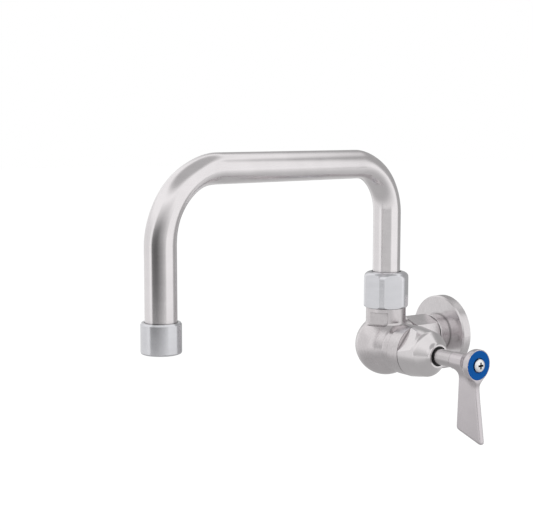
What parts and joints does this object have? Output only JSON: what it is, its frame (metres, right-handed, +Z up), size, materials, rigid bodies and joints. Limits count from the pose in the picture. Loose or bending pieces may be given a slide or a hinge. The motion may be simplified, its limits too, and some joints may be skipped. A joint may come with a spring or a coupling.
{
  "type": "wall-mounted single tap with swivel spout",
  "caption": "Wall-mounted cold-water tap with a ball-shaped body, a quarter-turn lever and a swivelling over-arm spout.",
  "frame": {"origin": "centre of the wall flange's back face, at the mouth of the inlet socket", "axes": "+Y into the wall along the inlet's axis, -Y out of the wall, +X towards the lever, +Z up"},
  "size_m": [0.1224, 0.2683, 0.1872],
  "materials": {
    "satin_steel": "fine satin, turned and polished",
    "polished_steel": "bright polished",
    "brass": "machined",
    "black_rubber": "matte",
    "white_nylon": "moulded",
    "white_ceramic": "lapped",
    "blue_plastic": "gloss"
  },
  "bodies": {
    "tap_body": {"wall_flange": "satin_steel", "flange_gasket": "black_rubber", "union_nut": "satin_steel", "union_washer": "black_rubber", "union_tail": "brass", "inlet_strainer": "white_nylon", "valve_body": "satin_steel", "bonnet": "satin_steel", "bonnet_oring": "black_rubber", "stem_bush": "black_rubber", "cartridge_body": "brass", "seat_seal": "black_rubber", "fixed_disc": "white_ceramic", "gland_nut": "polished_steel", "swivel_washer": "white_nylon", "swivel_bush": "white_nylon"},
    "spout": {"spout_collar": "polished_steel", "spout_oring_lower": "black_rubber", "spout_oring_upper": "black_rubber", "spout_tube": "satin_steel", "outlet_adaptor": "brass", "aerator_shell": "polished_steel", "aerator_gasket": "black_rubber", "aerator_cartridge": "white_nylon", "aerator_screen": "polished_steel"},
    "lever": {"spindle": "polished_steel", "moving_disc": "white_ceramic", "spindle_oring_inner": "black_rubber", "spindle_oring_outer": "black_rubber", "spindle_clip": "polished_steel", "lever_handle": "satin_steel", "index_ring": "blue_plastic", "handle_screw": "polished_steel"}
  },
  "joints": [
    {"name": "spout_swivel", "type": "hinge", "parent": "tap_body", "child": "spout", "pos_m": [0, -0.0564, 0.0292], "axis": [0, 0, 1], "range_deg": [-100, 80]},
    {"name": "lever_turn", "type": "hinge", "parent": "tap_body", "child": "lever", "pos_m": [0.03, -0.0564, -0.0038], "axis": [1, 0, 0], "range_deg": [-90, 0]}
  ]
}
